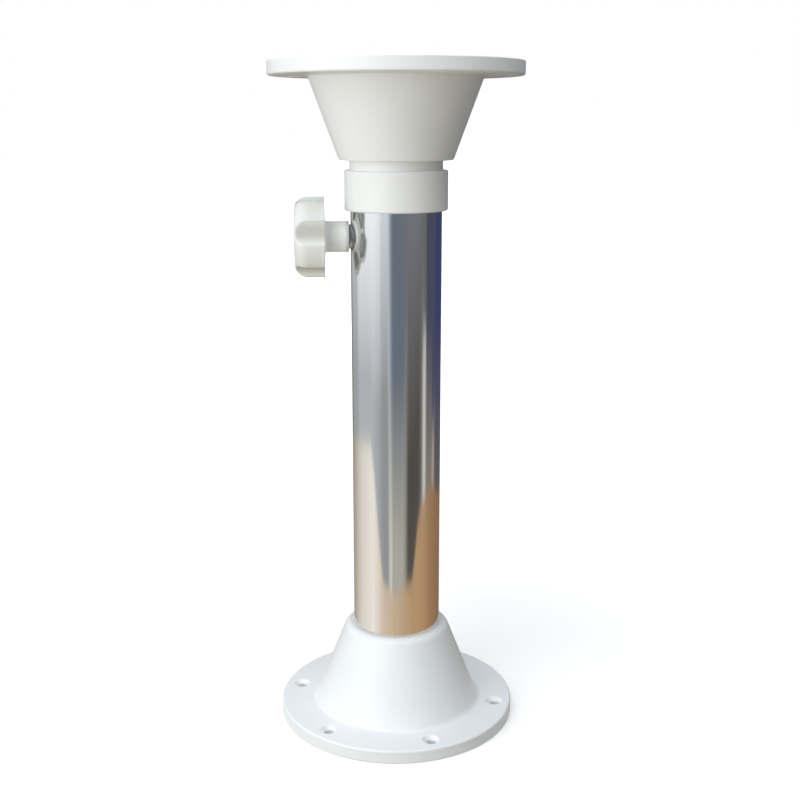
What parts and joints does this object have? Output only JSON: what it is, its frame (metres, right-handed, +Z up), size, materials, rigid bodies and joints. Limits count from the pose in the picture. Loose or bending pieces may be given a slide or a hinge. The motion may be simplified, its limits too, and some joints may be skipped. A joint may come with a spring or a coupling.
{
  "type": "telescopic table pedestal",
  "caption": "Telescopic table pedestal: round screw-down foot, fixed outer tube with a star-knob clamp, sliding and turning inner tube under a round top plate.",
  "frame": {"origin": "centre of the foot's mounting face, on the column's axis", "axes": "+Z up along the column, -X towards the clamp knob, seen from -Y in the picture"},
  "size_m": [0.165, 0.165, 0.45],
  "materials": {
    "white_moulding": "satin gloss",
    "nylon": "matte",
    "tube_aluminium": "polished",
    "plug_aluminium": "turned",
    "zinc_steel": "zinc plated"
  },
  "bodies": {
    "base": {"base_flange": "white_moulding", "base_bush": "nylon", "outer_tube": "tube_aluminium", "tube_plug": "plug_aluminium", "base_bolt": "zinc_steel", "base_washer": "zinc_steel", "base_spring_washer": "zinc_steel", "collar": "white_moulding", "guide_sleeve": "nylon", "clamp_insert": "zinc_steel"},
    "glide": {"glide_ring": "nylon"},
    "column": {"inner_tube": "tube_aluminium", "end_piston": "nylon", "top_mount": "white_moulding", "top_plug": "plug_aluminium", "top_bolt": "zinc_steel", "top_washer": "zinc_steel", "top_spring_washer": "zinc_steel"},
    "thrust": {"thrust_pad": "nylon"},
    "knob": {"knob_body": "white_moulding", "knob_stud": "zinc_steel"}
  },
  "joints": [
    {"name": "column_slide", "type": "slide", "parent": "base", "child": "glide", "axis": [0, 0, 1], "range_m": [0, 0.25]},
    {"name": "column_swivel", "type": "hinge", "parent": "glide", "child": "column", "pos_m": [0, 0, 0.2], "axis": [0, 0, 1], "continuous": true},
    {"name": "clamp_feed", "type": "slide", "parent": "base", "child": "thrust", "axis": [-1, 0, 0], "range_m": [0, 0.0015]},
    {"name": "knob_turn", "type": "hinge", "parent": "thrust", "child": "knob", "pos_m": [-0.05, 0, 0.3389], "axis": [-1, 0, 0], "range_deg": [0, 360]}
  ],
  "couplings": [
    {"joint": "clamp_feed", "follows": "knob_turn", "m_per_rad": 0.00023873}
  ]
}
